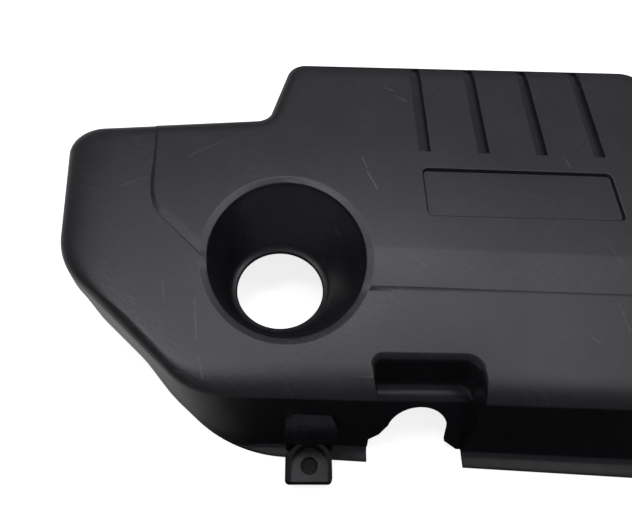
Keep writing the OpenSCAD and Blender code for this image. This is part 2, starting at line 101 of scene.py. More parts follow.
# The filler funnel
HOLE = np.array([-103.5, -52.0])
HOLE_R = 40
LIP_Z = 54
LIP_R = 3.5
LIP_H = 4.4
THROAT_R = HOLE_R + LIP_R
MOUTH = HOLE + np.array([5.5, 9.0])
MOUTH_RX = 69.5
MOUTH_RY = 77
MOUTH_CHAMFER_W = 6.5

# The grooves and the recess
GROOVE_X = [35.5 + 59.3 * i for i in range(4)]
GROOVE_W = 9.2
GROOVE_DRAFT = 1.3
GROOVE_DEPTH = 3.3
# The floor rises to this share of the depth at the left edge.
GROOVE_RAMP = 0.12
GROOVE_FRONT_Y = 77
# Share of the shoulder's width over which a groove runs
GROOVE_END = 0.72
# The recess: middle in x and y, width and length
RECESS = (125, 28.5, 189, 56)
RECESS_R = 6
RECESS_DEPTH = 3.8

# The front pocket and its arch
POCKET_LEFT = -31
POCKET_DRAFT = 9
POCKET_RIGHT = 64
POCKET_BACK = -133
LEDGE_BACK = -145
LEDGE_FRONT = -157
LEDGE_Z = 58
POCKET_FOOT = -186
# How far the pocket's rolled edge reaches in from its outline
POCKET_ROLL = 4.5
ARCH_X = 20
ARCH_R = 27
ARCH_MIDDLE_Z = 21.5

# The front lug
LUG_X = -75
LUG_TOP_W = 43
LUG_FOOT_W = 38
LUG_R = 15
LUG_Z = 67
LUG_KNEE_Z = 34
LUG_FRONT = -217
EYE_Y = -204
EYE_R = 7.5
NICHE_R = 16
LUG_FLOOR_Z = 15
LUG_FLOOR_T = 4

# The sockets of the grommets
SOCKET_R = 12.7
SOCKET_BORE_R = 9.7
SOCKET_Z = 46
GROMMET_H = 11
INNER_SOCKETS = [(-42, 159), (250, 159), (250, -119)]
GUSSET_SPAN = 45.4
RIB_T = 2.2
RIB_H = 11
RIB_PITCH = 62
RIB_ACROSS = 389
RIB_LENGTHWAYS = 618
RIB_MIDDLE = (-6, 17.5)

# The photograph's view: focal length and width of the picture in pixels, and the camera's place
FOCAL = 580
PICTURE_W = 632
CAMERA_PLACE = (-102, -305, 534)
# Edges sharper than this angle stay sharp.
SHARP = math.radians(34)


def unit(v):
    return v / np.linalg.norm(v)


def side(a, b, c):
    """1 for a corner that turns left, and -1 for one that turns right."""
    u, v = b - a, c - b
    return 1 if u[0] * v[1] - u[1] * v[0] >= 0 else -1


def inset(a, b, c, before, after):
    """Corner b, moved inward by one distance from the wall before it and one from the wall after it."""
    u, v = unit(a - b), unit(c - b)
    return b + side(a, b, c) * (u * after + v * before) / abs(u[0] * v[1] - u[1] * v[0])


def corner_arc(a, b, c, r, steps):
    """Points of the rounded corner b between the walls a-b and b-c."""
    u, v = unit(a - b), unit(c - b)
    half = math.acos(max(-1, min(1, float(u @ v)))) / 2
    turn = math.pi - 2 * half
    middle = b + unit(u + v) * r / math.sin(half)
    start = b + u * r / math.tan(half) - middle
    end = b + v * r / math.tan(half) - middle
    return [middle + (start * math.sin(turn * (1 - i / steps)) + end * math.sin(turn * i / steps)) / math.sin(turn)
            for i in range(steps + 1)]


def outline_ring(corners, radii, insets, heights, arc_steps=18, side_steps=8):
    """One closed ring of the form: rounded corners with points along the straight walls between them."""
    n = len(corners)
    corners = [np.array(c, float) for c in corners]
    moved = [inset(corners[k - 1], corners[k], corners[(k + 1) % n], insets[k - 1], insets[k]) for k in range(n)]
    arcs = []
    for k in range(n):
        a, b, c = moved[k - 1], moved[k], moved[(k + 1) % n]
        closer = min(insets[k - 1], insets[k])
        r = max(3, radii[k] - side(a, b, c) * closer)
        arcs.append([np.array([p[0], p[1], heights[k]]) for p in corner_arc(a, b, c, r, arc_steps)])
    points = []
    for k in range(n):
        points += arcs[k]
        first, last = arcs[k][-1], arcs[(k + 1) % n][0]
        points += [first + (last - first) * i / side_steps for i in range(1, side_steps)]
    return points


def blend(a, b, t):
    """Points a share of the way from one list to another."""
    return [tuple(np.array(p) * (1 - t) + np.array(q) * t) for p, q in zip(a, b)]


def eased(curve):
    """Points of a curve of the wall's foot, eased between its places, and the straight wall above it."""
    levels = []
    for (x0, z0, s0), (x1, z1, s1) in zip(curve, curve[1:]):
        span = z1 - z0
        for i in range(4):
            t = i / 4
            x = ((2 * t ** 3 - 3 * t ** 2 + 1) * x0 + (t ** 3 - 2 * t ** 2 + t) * span * s0
                 + (3 * t ** 2 - 2 * t ** 3) * x1 + (t ** 3 - t ** 2) * span * s1)
            levels.append((x, z0 + span * t))
    x, z = curve[-1][:2]
    return levels + [(x * (1 - t), z + (1 - z) * t) for t in (0, 0.2, 0.4, 0.6, 0.8, 0.95)]


def shoulder_point(a):
    """A point of the shoulder's curve: 1, 0 where the wall ends and 0, 1 where the flat top begins."""
    return math.cos(a) ** (2 / SHOULDER_POWER) if a < 1.57 else 0, math.sin(a) ** (2 / SHOULDER_POWER)


def surround_z(y):
    """Height of the surround: falling towards the front wall, and rising a little towards the back of the wing."""
    ahead = FALL_Y - y
    front, back = math.tan(FRONT_FALL), math.tan(WING_RISE)
    if abs(ahead) < FALL_EASE:
        middle = (front - back) * (ahead + FALL_EASE) ** 2 / (4 * FALL_EASE)
        return HEIGHT - PANEL_STEP - back * ahead - middle
    return HEIGHT - PANEL_STEP - ahead * (front if ahead > 0 else back)


def form_rings(t, foot_z, low=False):
    """Rings of the moulded form, drawn in by a thickness. A low form has its top at the surround's level."""
    rim_corners = [(c[0] + s[0], c[1] + s[1]) for c, s in zip(TOP_CORNERS, RIM_SHIFTS)]

    def wall_ring(out, up):
        radii = [a * (1 - out) + b * out for a, b in zip(TOP_RADII, RIM_RADII)]
        heights = [(HEIGHT - d) * up + (foot_z if up == 0 else 0) for d in SHOULDER_DROPS]
        return np.array(outline_ring(blend(TOP_CORNERS, rim_corners, out), radii, [t] * 7, heights))

    rings = []
    curl = eased(CURL)
    for out, up in eased(FLANGE):
        plain_out = float(np.interp(up, [z for x, z in curl], [x for x, z in curl]))
        if t:
            out, plain_out = min(out, HOLLOW_SHARE), min(plain_out, 0.75)
        flanged, plain = wall_ring(out, up), wall_ring(plain_out, up)
        along = np.clip((flanged[:, 0] - FLANGE_FADE[0]) / (FLANGE_FADE[1] - FLANGE_FADE[0]), 0, 1)
        share = (along * along * (3 - 2 * along))[:, None]
        rings.append([tuple(point) for point in plain + (flanged - plain) * share])
    for angle in range(0, 91, 5):
        across, up = shoulder_point(math.radians(angle))
        insets = [t + (w - t) * (1 - across) for w in SHOULDER_WIDTHS]
        ring = outline_ring(TOP_CORNERS, TOP_RADII, insets, [HEIGHT - d for d in SHOULDER_DROPS])
        rings.append([(x, y, z + ((surround_z(y) if low else HEIGHT) - t - z) * up) for x, y, z in ring])
    return rings


def low_form(t):
    """The form with its top at the surround's level."""
    rings = form_rings(t, 0, low=True)
    rings.append([(x, y, HEIGHT + 1) for x, y, z in rings[-1]])
    line = [FAR_BACK] + [FALL_Y + FALL_EASE - 2.5 * i for i in range(int(FALL_EASE / 1.25) + 1)] + [FAR_FRONT]
    above = [(y, surround_z(y) - t) for y in line] + [(FAR_FRONT, HEIGHT + 5), (FAR_BACK, HEIGHT + 5)]
    return combine(solid("low form", rings), along_x("above the surround", above, -FAR, FAR), "DIFFERENCE")


def solid(name, rings):
    """A closed solid through rings with equal numbers of points, with a flat end on each."""
    n = len(rings[0])
    shape = bmesh.new()
    rows = [[shape.verts.new(Vector(p) * MM) for p in ring] for ring in rings]
    for low, high in zip(rows, rows[1:]):
        for i in range(n):
            k = (i + 1) % n
            shape.faces.new((low[i], low[k], high[k], high[i]))
    shape.faces.new(rows[0][::-1])
    shape.faces.new(rows[-1])
    bmesh.ops.recalc_face_normals(shape, faces=shape.faces)
    mesh = bpy.data.meshes.new(name)
    shape.to_mesh(mesh)
    shape.free()
    made = bpy.data.objects.new(name, mesh)
    bpy.context.scene.collection.objects.link(made)
    return made


def rounded(points, radii, steps=5):
    """A flat outline whose corners are rounded by a radius each, 0 for a sharp corner."""
    points = [np.array(p, float) for p in points]
    out = []
    for k, r in enumerate(radii):
        a, b, c = points[k - 1], points[k], points[(k + 1) % len(points)]
        out += corner_arc(a, b, c, r, steps) if r else [b]
    return out


def along_x(name, outline, x0, x1):
    return solid(name, [[(x, p[0], p[1]) for p in outline] for x in (x0, x1)])


def along_y(name, outline, y0, y1):
    return solid(name, [[(p[0], y, p[1]) for p in outline] for y in (y0, y1)])


def along_z(name, outline, z0, z1):
    return solid(name, [[(p[0], p[1], z) for p in outline] for z in (z0, z1)])


def circle(x, y, r, steps=96):
    return [(x + r * math.cos(2 * math.pi * i / steps), y + r * math.sin(2 * math.pi * i / steps))
            for i in range(steps)]


def combine(base, tool, operation):
    """Cuts a tool out of a solid, joins it on, or keeps what both share. The tool is used up."""
    change = base.modifiers.new("change", "BOOLEAN")
    change.operation = operation
    change.object = tool
    change.solver = "MANIFOLD"
    evaluated = base.evaluated_get(bpy.context.evaluated_depsgraph_get())
    mesh = bpy.data.meshes.new_from_object(evaluated)
    base.modifiers.remove(change)
    base.data = mesh
    bpy.data.objects.remove(tool)
    return base


def front_region(drop):
    """Everything in front of the panel's step, and above the strip that slopes down to it."""
    foot_y = -STEP_Y - STEP_W
    head_y = -STEP_Y + STRIP_W
    # The crease at the strip's head has half the strip's slope.
    outline = rounded(
        [(head_y + CREASE_HALF, 0), (head_y - CREASE_HALF, -CREASE_HALF * STRIP_DROP / STRIP_W),
         (-STEP_Y, -STRIP_DROP), (foot_y, -PANEL_STEP - 1.05), (foot_y, -REGION_DEPTH),
         (FAR_FRONT, -REGION_DEPTH), (FAR_FRONT, 20), (head_y + CREASE_HALF, 20)],
        [0, 0, 5, 0, 0, 0, 0, 0])
    # Right of the middle the step runs a little towards the front.
    return solid("front region", [[(x, y - ahead, z + HEIGHT - drop) for y, z in outline]
                                  for x, ahead in ((-FAR, 0), (0, 0), (FAR, STEP_AHEAD))])


def wing_region(drop):
    """Everything left of the panel's crease, with a sloping edge that is steep at the back and shallow in front."""
    edge = [(-CREASE_X - 6, FAR_BACK), (-CREASE_X + 2, 29), (-CREASE_X + 4, 16), (-CREASE_X + 8, 4),
            (-CREASE_X + 15, -6), (-CREASE_X + 75, -66)]
    slope = [(1.2, 0), (1.2, 0), (1.2, 0.1), (1.2, 0.6), (1.5, 1.5), (2.2, 2.2)]
    outer = [(-CREASE_X + 75, -227), (-375, -227), (-375, FAR_BACK)]
    # How far the edge has moved out, and the height above the surround
    levels = [(0, -REGION_DEPTH), (0.05, 1.25), (0.5, 1.5), (PANEL_STEP - 0.5, PANEL_STEP - 0.25),
              (PANEL_STEP + 0.3, PANEL_STEP - 0.04), (PANEL_STEP + 1.5, PANEL_STEP + 0.03),
              (PANEL_STEP + 3, PANEL_STEP + 6)]
    rings = []
    for grow, up in levels:
        z = HEIGHT - PANEL_STEP + up - drop
        rings.append([(x, y, z) for x, y in outer[::-1]]
                     + [(x + sx * grow, y + sy * grow, z) for (x, y), (sx, sy) in zip(edge[::-1], slope[::-1])])
    return solid("wing region", rings)


def surround_space(t):
    """What is taken off the form beside and in front of the panel, to leave the surround."""
    regions = combine(front_region(t), wing_region(t), "UNION")
    return combine(regions, low_form(t), "DIFFERENCE")


def oval(centre, rx, ry, grow, steps=180):
    """Points of an oval, grown by a distance."""
    angles = [2 * math.pi * i / steps for i in range(steps)]
    return [(centre[0] + (rx + grow) * math.cos(a), centre[1] + (ry + grow) * math.sin(a)) for a in angles]


def clamp(v):
    return min(1, max(0, v))


def mouth_z(x, y):
    """Height of the cover's top at a point of the funnel's mouth."""
    strip = STRIP_DROP * clamp((STRIP_W - STEP_Y - y) / STRIP_W)
    lowered = max(clamp(0.5 - (x + y + CREASE_X - 9) / 12), clamp(0.5 - (y + STEP_Y) / 8))
    return (HEIGHT - strip) * (1 - lowered) + surround_z(y) * lowered


def funnel_space(t):
    """The open space of the funnel, grown by a thickness, with a flat chamfer round its mouth."""
    wide = MOUTH_CHAMFER_W
    chamfer = [(-1.5, -5.5), (-0.5, -3.2), (-0.1, -2.4), (0.3, -2.0), (1.0, -1.7), (wide - 0.9, -0.28),
               (wide, -0.06), (wide + 0.8, 0.02)]
    # The rim round the hole slopes gently, then bends up into the funnel's wall.
    rim = [(-2.5, -1.0 - t), (-1.0, -0.4), (0.5, 0.3), (1.8, 1.2), (3.1, 2.6), (5.1, 5.4)]
    rings = [[(x, y, LIP_Z + up) for x, y in oval(HOLE, THROAT_R, THROAT_R, t + grow)] for grow, up in rim]
    foot = rings[-1]
    mouth = [(x, y, mouth_z(x, y) + chamfer[0][1]) for x, y in oval(MOUTH, MOUTH_RX, MOUTH_RY, t + chamfer[0][0])]
    for s in (0.25, 0.5, 0.75):
        rings.append([tuple(a + (b - a) * s for a, b in zip(p, q)) for p, q in zip(foot, mouth)])
    for grow, up in chamfer:
        rings.append([(x, y, mouth_z(x, y) + up) for x, y in oval(MOUTH, MOUTH_RX, MOUTH_RY, t + grow)])
    rings.append([(x, y, HEIGHT + 6) for x, y, z in rings[-1]])
    return solid("funnel space", rings)


def turned(name, profile, x, y, steps=96):
    """A ring turned round an upright axis from a closed profile of radius and height."""
    shape = bmesh.new()
    rows = []
    for i in range(steps):
        a = 2 * math.pi * i / steps
        rows.append([shape.verts.new(Vector((x + r * math.cos(a), y + r * math.sin(a), z)) * MM) for r, z in profile])
    for i in range(steps):
        row, after = rows[i], rows[(i + 1) % steps]
        for j in range(len(profile)):
            k = (j + 1) % len(profile)
            shape.faces.new((row[j], after[j], after[k], row[k]))
    bmesh.ops.recalc_face_normals(shape, faces=shape.faces)
    mesh = bpy.data.meshes.new(name)
    shape.to_mesh(mesh)
    shape.free()
    made = bpy.data.objects.new(name, mesh)
    bpy.context.scene.collection.objects.link(made)
    return made


def hole_wall():
    """The short wall of the filler hole, with rounded lower edges, under the funnel's foot."""
    middle = (HOLE_R + LIP_R, LIP_Z - LIP_R)
    roll = [(middle[0] + LIP_R * math.cos(math.radians(a)), middle[1] + LIP_R * math.sin(math.radians(a)))
            for a in range(180, 59, -12)]
    low, side_r = LIP_Z - LIP_H, middle[0] + LIP_R
    outer = side_r + WALL
    profile = roll + [(outer, middle[1] + 2.6), (outer, middle[1] - 1.5), (side_r, middle[1] - 1.5),
                      (side_r, low + 0.8), (side_r - 0.8, low), (HOLE_R + 0.8, low), (HOLE_R, low + 0.8)]
    return turned("hole wall", profile, HOLE[0], HOLE[1], 144)


def back_edge(x):
    """Where the back wall begins under the shoulder, across the panel."""
    (right_x, right_y), (left_x, left_y) = TOP_CORNERS[4], TOP_CORNERS[5]
    return left_y + (right_y - left_y) * (x - left_x) / (right_x - left_x)


def groove_space(x, t):
    """The open space of one groove, a shallow channel with a sloping floor, which runs over the back shoulder."""
    back = back_edge(x)
    width, drop = SHOULDER_WIDTHS[4], SHOULDER_DROPS[4]
    floor, depth = GROOVE_W / 2 + t, GROOVE_DEPTH + t
    edge = [(GROOVE_DRAFT + 0.6, 4), (GROOVE_DRAFT + 0.6, 0.03), (GROOVE_DRAFT + 0.1, -0.15),
            (GROOVE_DRAFT - 0.2, -0.5), (0.1, -depth)]
    section = [(floor + s, h) for s, h in edge]
    section += [(-s, h * GROOVE_RAMP if h < 0 else h) for s, h in section[::-1]]
    path = [(GROOVE_FRONT_Y - t, HEIGHT, 0), (GROOVE_FRONT_Y + 40, HEIGHT, 0), (back - width - 5, HEIGHT, 0)]
    for i in range(1, 13):
        along = (GROOVE_END + t / width) * i / 12
        up = (1 - along ** SHOULDER_POWER) ** (1 / SHOULDER_POWER)
        slope = drop / width * (along / up) ** (SHOULDER_POWER - 1)
        path.append((back - width * (1 - along), HEIGHT - drop * (1 - up), math.atan(slope)))
    rings = [[(x + s, y + h * math.sin(tilt), z + h * math.cos(tilt)) for s, h in section] for y, z, tilt in path]
    return solid("groove space", rings)


def rounded_plate(cx, cy, w, l, r, z, steps=8):
    """The outline of a rounded rectangle at a height."""
    corners = [(cx - w / 2, cy - l / 2), (cx + w / 2, cy - l / 2), (cx + w / 2, cy + l / 2), (cx - w / 2, cy + l / 2)]
    return [(p[0], p[1], z) for p in rounded(corners, [r] * 4, steps)]


def recess_space(t):
    """The open space of the shallow recess, with a soft foot and a soft upper edge."""
    cx, cy, w, l = RECESS
    levels = [(-2.2, -RECESS_DEPTH), (-1.7, -RECESS_DEPTH + 0.1), (-1.35, -RECESS_DEPTH + 0.4), (-0.35, -0.5),
              (0.1, -0.12), (0.8, 0.01), (0.8, 4)]
    return solid("recess space", [
        rounded_plate(cx, cy, w + 2 * (g + t), l + 2 * (g + t), RECESS_R + g + t, HEIGHT + up - t)
        for g, up in levels])


def pocket_space(t):
    """The open space of the front pocket, grown by a thickness."""
    profile = [(POCKET_BACK + 20, HEIGHT + 10), (POCKET_BACK + 20, LEDGE_Z - t), (LEDGE_FRONT + t, LEDGE_Z - t),
               (POCKET_FOOT + t, 0), (POCKET_FOOT + t, -20), (FAR_FRONT, -20), (FAR_FRONT, HEIGHT + 10)]
    pocket = along_x("pocket space", rounded(profile, [0, 0, 8 + t, 0, 0, 0, 0]), -70, 100)
    # Height, place of the back wall with its foot rounded into the ledge, and how far the edge rolls out at the top
    levels = [(-10, -151, 0), (LEDGE_Z - 0.5, -151, 0), (LEDGE_Z + 0.3, -149, 0), (LEDGE_Z + 1.5, -147.2, 0),
              (LEDGE_Z + 3.5, -145.5, 0), (LEDGE_Z + 6.5, -144.3, 0), (70, -143, 0), (84, -139.4, 0), (91, -137.9, 0),
              (94, -137.4, 0.7), (95.8, -137.1, 1.6), (97.1, -136.9, 2.9), (97.9, -136.7, 4.3), (98.3, -136.5, 5.8),
              (98.7, -136.3, 8.5), (HEIGHT, -135, 14), (HEIGHT + 10, -135, 16)]
    rings = []
    for z, back, roll in levels:
        draft = POCKET_DRAFT * (HEIGHT + 10 - z) / (HEIGHT + 20)
        out = t + roll
        inward = POCKET_ROLL * clamp((z - 45) / 30)
        left, right = POCKET_LEFT + inward + draft - out, POCKET_RIGHT - inward * 0.6 + out
        corners = [(left, back + out), (left, -250), (right, -250), (right, back + out)]
        rings.append(outline_ring(corners, [6 + out, 3, 3, 12 + out], [0] * 4, [z - (t if z < 70 else 0)] * 4, 12, 1))
    return combine(pocket, solid("pocket sides", rings), "INTERSECT")


def arch_space():
    """The arched notch through the wall below the ledge, with its two sloping feet."""
    top = [(ARCH_X + ARCH_R * math.cos(math.radians(a)), ARCH_MIDDLE_Z + ARCH_R * math.sin(math.radians(a)))
           for a in range(0, 161, 5)]
    left = ARCH_X - ARCH_R
    outline = ([(POCKET_RIGHT - 4, -5), (POCKET_RIGHT - 4, 0), (ARCH_X + ARCH_R, 10)] + top
               + [(left + 1, 28), (left - 6, 17.4), (left - 15, 11.2), (left - 17, -5)])
    return along_y("arch space", outline, LEDGE_BACK - 3, LEDGE_BACK - 83)


def lug_form(t):
    """The lug on the front wall and the toe that holds its eye, drawn in by a thickness."""
    root, rise, foot = -157, LUG_Z - t, -1 if t else 0
    face = EYE_Y + NICHE_R - 1 + t
    # The face over the eye curves back to the top.
    crown = [(face + 26 * (1 - math.cos(a)), LUG_KNEE_Z + (rise - LUG_KNEE_Z) * math.sin(a))
             for a in (math.radians(d) for d in range(0, 91, 6))]
    lug = along_x("lug", [(root, foot), (face, foot)] + crown + [(root, rise)], LUG_X - 43, LUG_X + 43)
    outline = rounded([(-LUG_FOOT_W / 2, -24), (LUG_FOOT_W / 2, -24), (LUG_TOP_W / 2, LUG_Z), (-LUG_TOP_W / 2, LUG_Z)],
                      [LUG_R] * 4, 10)
    shrink = [(p[0] - t * np.sign(p[0]), p[1] - (t if p[1] > 20 else 0)) for p in outline]
    # Outside, the lug widens into the wall behind it, more at its foot than at its top.
    sides = []
    for y, grow in ((root + 5, 0.24), (-176, 0.23), (-180, 0.19), (-184, 0.11), (-188, 0.04), (-192, 0), (-219, 0)):
        wider = [1 + (0 if t else grow * clamp((LUG_Z - 8 - z) / 25)) for x, z in shrink]
        sides.append([(LUG_X + x * w, y, z) for (x, z), w in zip(shrink, wider)])
    combine(lug, solid("lug sides", sides), "INTERSECT")
    # The toe is round at the rim of the niche and squarer below it.
    levels = ([(-1, 0, 2), (LUG_FLOOR_Z - LUG_FLOOR_T, 0, 2)] if t else
              [(0, 1.6, 8), (8, 1.2, 7), (LUG_FLOOR_Z, 0.8, 4), (22, 0.2, 2.5), (29, -0.6, 2), (45, -1.6, 2)])
    front = LUG_FRONT + 2 if t else LUG_FRONT
    rings = []
    for z, grow, power in levels:
        r = LUG_FOOT_W / 2 + grow - t
        arc = []
        for a in range(0, 181, 5):
            c, s = math.cos(math.radians(a)), math.sin(math.radians(a))
            arc.append((LUG_X + r * np.sign(c) * abs(c) ** (2 / power), EYE_Y + r * max(0, s) ** (2 / power), z))
        rings.append(arc + [(LUG_X - r, front + 3, z), (LUG_X - r + 1, front + 1, z), (LUG_X - r + 3, front, z),
                            (LUG_X + r - 3, front, z), (LUG_X + r - 1, front + 1, z), (LUG_X + r, front + 3, z)])
    toe = solid("toe", rings)
    if not t:
        top = [(-150, -2), (front - 2, -2), (front - 2, LUG_FLOOR_Z + 0.5), (front + 3, LUG_FLOOR_Z + 2),
               (-188, 28), (-150, 30)]
        combine(toe, along_x("toe top", top, LUG_X - 43, LUG_X + 43), "INTERSECT")
    return combine(lug, toe, "UNION")


def niche_space(t):
    """The open niche over the lug's floor, grown by a thickness. Its back leans away from the eye."""
    low = LUG_FLOOR_Z - (LUG_FLOOR_T if t else 0)
    rings = []
    for z, lean in ((low, -2.2), (LUG_FLOOR_Z + 0.4, -2.2), (LUG_FLOOR_Z + 1.5, -1.2), (LUG_KNEE_Z, 0.6),
                    (LUG_FLOOR_Z + 70, 4)):
        r = NICHE_R + t
        arc = [(LUG_X + r * math.cos(math.radians(a)), EYE_Y + (r + lean) * math.sin(math.radians(a)), z)
               for a in range(0, 181, 5)]
        rings.append(arc + [(LUG_X - r, EYE_Y - 40, z), (LUG_X + r, EYE_Y - 40, z)])
    return solid("niche space", rings)


def wing_rim_space():
    """The bottom of the wing is cut away up to its own rim."""
    end = LEFT_X + WING_RIM_W
    foot = end + BANK_W + BANK_FOOT_W
    outline = rounded(
        [(-FAR, -5), (foot + 4, -5), (foot, 0), (end + BANK_W, 6), (end, WING_RIM_Z - 4), (end - 6, WING_RIM_Z),
         (LEFT_X + END_RIM_W + 12, WING_RIM_Z), (LEFT_X + END_RIM_W, END_RIM_Z), (-FAR, END_RIM_Z)],
        [0, 0, 0, 6, 6, 6, 8, 8, 0])
    return along_y("wing rim space", outline, FAR_BACK, -188)


def rib_rows():
    """Geometry Nodes tree: parallel ribs, repeated across the inside of the top wall."""
    tree = bpy.data.node_groups.new("parallel ribs", "GeometryNodeTree")
    face = tree.interface
    for label, kind in (("Count", "NodeSocketInt"), ("First", "NodeSocketVector"), ("Pitch", "NodeSocketVector"),
                        ("Rib size", "NodeSocketVector"), ("Material", "NodeSocketMaterial")):
        face.new_socket(label, in_out="INPUT", socket_type=kind)
    face.new_socket("Ribs", in_out="OUTPUT", socket_type="NodeSocketGeometry")
    given = add(tree, "NodeGroupInput")
    line = add(tree, "GeometryNodeMeshLine", {"Count": given.outputs["Count"], "Start Location": given.outputs["First"],
                                              "Offset": given.outputs["Pitch"]}, mode="OFFSET")
    rib = add(tree, "GeometryNodeMeshCube", {"Size": given.outputs["Rib size"]})
    placed = add(tree, "GeometryNodeInstanceOnPoints", {"Points": line.outputs["Mesh"],
                                                        "Instance": rib.outputs["Mesh"]})
    real = add(tree, "GeometryNodeRealizeInstances", {"Geometry": placed.outputs["Instances"]})
    dressed = add(tree, "GeometryNodeSetMaterial", {"Geometry": real.outputs["Geometry"],
                                                    "Material": given.outputs["Material"]})
    add(tree, "NodeGroupOutput", {"Ribs": dressed.outputs["Geometry"]})
    return tree


def rib_set(tree, count, first, pitch, size, material):
    """One set of ribs as a plain mesh."""
    made = bpy.data.objects.new("ribs", bpy.data.meshes.new("ribs"))
    bpy.context.scene.collection.objects.link(made)
    rows = made.modifiers.new("rows", "NODES")
    rows.node_group = tree
    values = {"Count": count, "First": Vector(first) * MM, "Pitch": Vector(pitch) * MM,
              "Rib size": Vector(size) * MM, "Material": material}
    for item in tree.interface.items_tree:
        if item.in_out == "INPUT":
            rows[item.identifier] = values[item.name]
    mesh = bpy.data.meshes.new_from_object(made.evaluated_get(bpy.context.evaluated_depsgraph_get()))
    made.modifiers.remove(rows)
    made.data = mesh
    return made


def add(tree, kind, inputs=None, **settings):
    """Adds a node with its settings, and sets or links its inputs."""
    made = tree.nodes.new(kind)
    for key, value in settings.items():
        setattr(made, key, value)
    for key, value in (inputs or {}).items():
        if isinstance(value, bpy.types.NodeSocket):
            tree.links.new(value, made.inputs[key])
        else:
            made.inputs[key].default_value = value
    return made


def linear(code):
    """An sRGB hex colour as the linear RGBA that a shader takes."""
    parts = [int(code[i:i + 2], 16) / 255 for i in (1, 3, 5)]
    return [p / 12.92 if p <= 0.04045 else ((p + 0.055) / 1.055) ** 2.4 for p in parts] + [1]


# Marks of use in plan, in millimetres: start, end, width and strength
SCRATCHES = [
    ((-27, 67), (-23, 54), 0.9, 0.7), ((-23, 49), (-14, 28), 0.9, 1.0), ((176, 76), (179, 63), 0.8, 0.6),
    ((190, -85), (193, -111), 1.0, 0.6), ((158, -116), (164, -121), 1.0, 0.8), ((-174, -88), (-169, -124), 1.0, 0.5),
    ((-166, -138), (-162, -155), 1.2, 0.6), ((-202, -71), (-199, -89), 0.9, 0.4), ((-252, 25), (-229, 37), 1.2, 0.3),
    ((2, 163), (10, 159), 1.8, 0.45), ((13, 151), (22, 145), 1.8, 0.45), ((-192, 62), (-163, 81), 1.4, 0.25),
    ((12, -42), (23, -53), 1.2, 0.4), ((136, -19), (154, -1), 1.0, 0.2), ((193, -21), (203, -52), 1.4, 0.2),
    ((-53, -5), (-49, -11), 0.9, 0.3), ((-102, 37), (-89, 35), 1.6, 0.5)]
# Rubbed zones in plan: start, end, how far they reach to each side, and strength
RUBBED = [((-256, -63), (-172, -147), 16, 1.0), ((-94, -136), (-8, -78), 24, 0.9), ((-20, -50), (240, -60), 26, 0.5)]


def near_line(tree, place, start, end, inner, outer, strength):
    """A strength near a line in plan, and 0 away from it, with distances in millimetres."""
    a, b = Vector((*start, 0)) * MM, Vector((*end, 0)) * MM
    along = (b - a).normalized()
    flat = add(tree, "ShaderNodeVectorMath", {0: place, 1: (1, 1, 0)}, operation="MULTIPLY")
    offset = add(tree, "ShaderNodeVectorMath", {0: flat.outputs[0], 1: a}, operation="SUBTRACT")
    run = add(tree, "ShaderNodeVectorMath", {0: offset.outputs[0], 1: along}, operation="DOT_PRODUCT")
    kept = add(tree, "ShaderNodeClamp", {"Value": run.outputs["Value"], "Max": (b - a).length})
    nearest = add(tree, "ShaderNodeVectorMath", {0: along, "Scale": kept.outputs[0]}, operation="SCALE")
    gap = add(tree, "ShaderNodeVectorMath", {0: offset.outputs[0], 1: nearest.outputs[0]}, operation="DISTANCE")
    faded = add(tree, "ShaderNodeMapRange", {"Value": gap.outputs["Value"], "From Min": outer * MM,
                                             "From Max": inner * MM, "To Min": 0.0, "To Max": strength},
                interpolation_type="SMOOTHSTEP")
    return faded.outputs[0]


def hairlines(tree, place, turn, width, length, strength):
    """Fine scuffs in one direction. They are drawn coarser than life, with width and length in millimetres."""
    laid = add(tree, "ShaderNodeMapping", {"Vector": place, "Rotation": (0, 0, math.radians(turn)),
                                           "Scale": (length * MM, width * MM, length * MM)}, vector_type="TEXTURE")
    noise = add(tree, "ShaderNodeTexNoise", {"Vector": laid.outputs[0], "Scale": 1.0, "Detail": 2.0})
    return add(tree, "ShaderNodeMapRange", {"Value": noise.outputs["Fac"], "From Min": 0.5, "From Max": 0.72,
                                            "To Max": strength}).outputs[0]


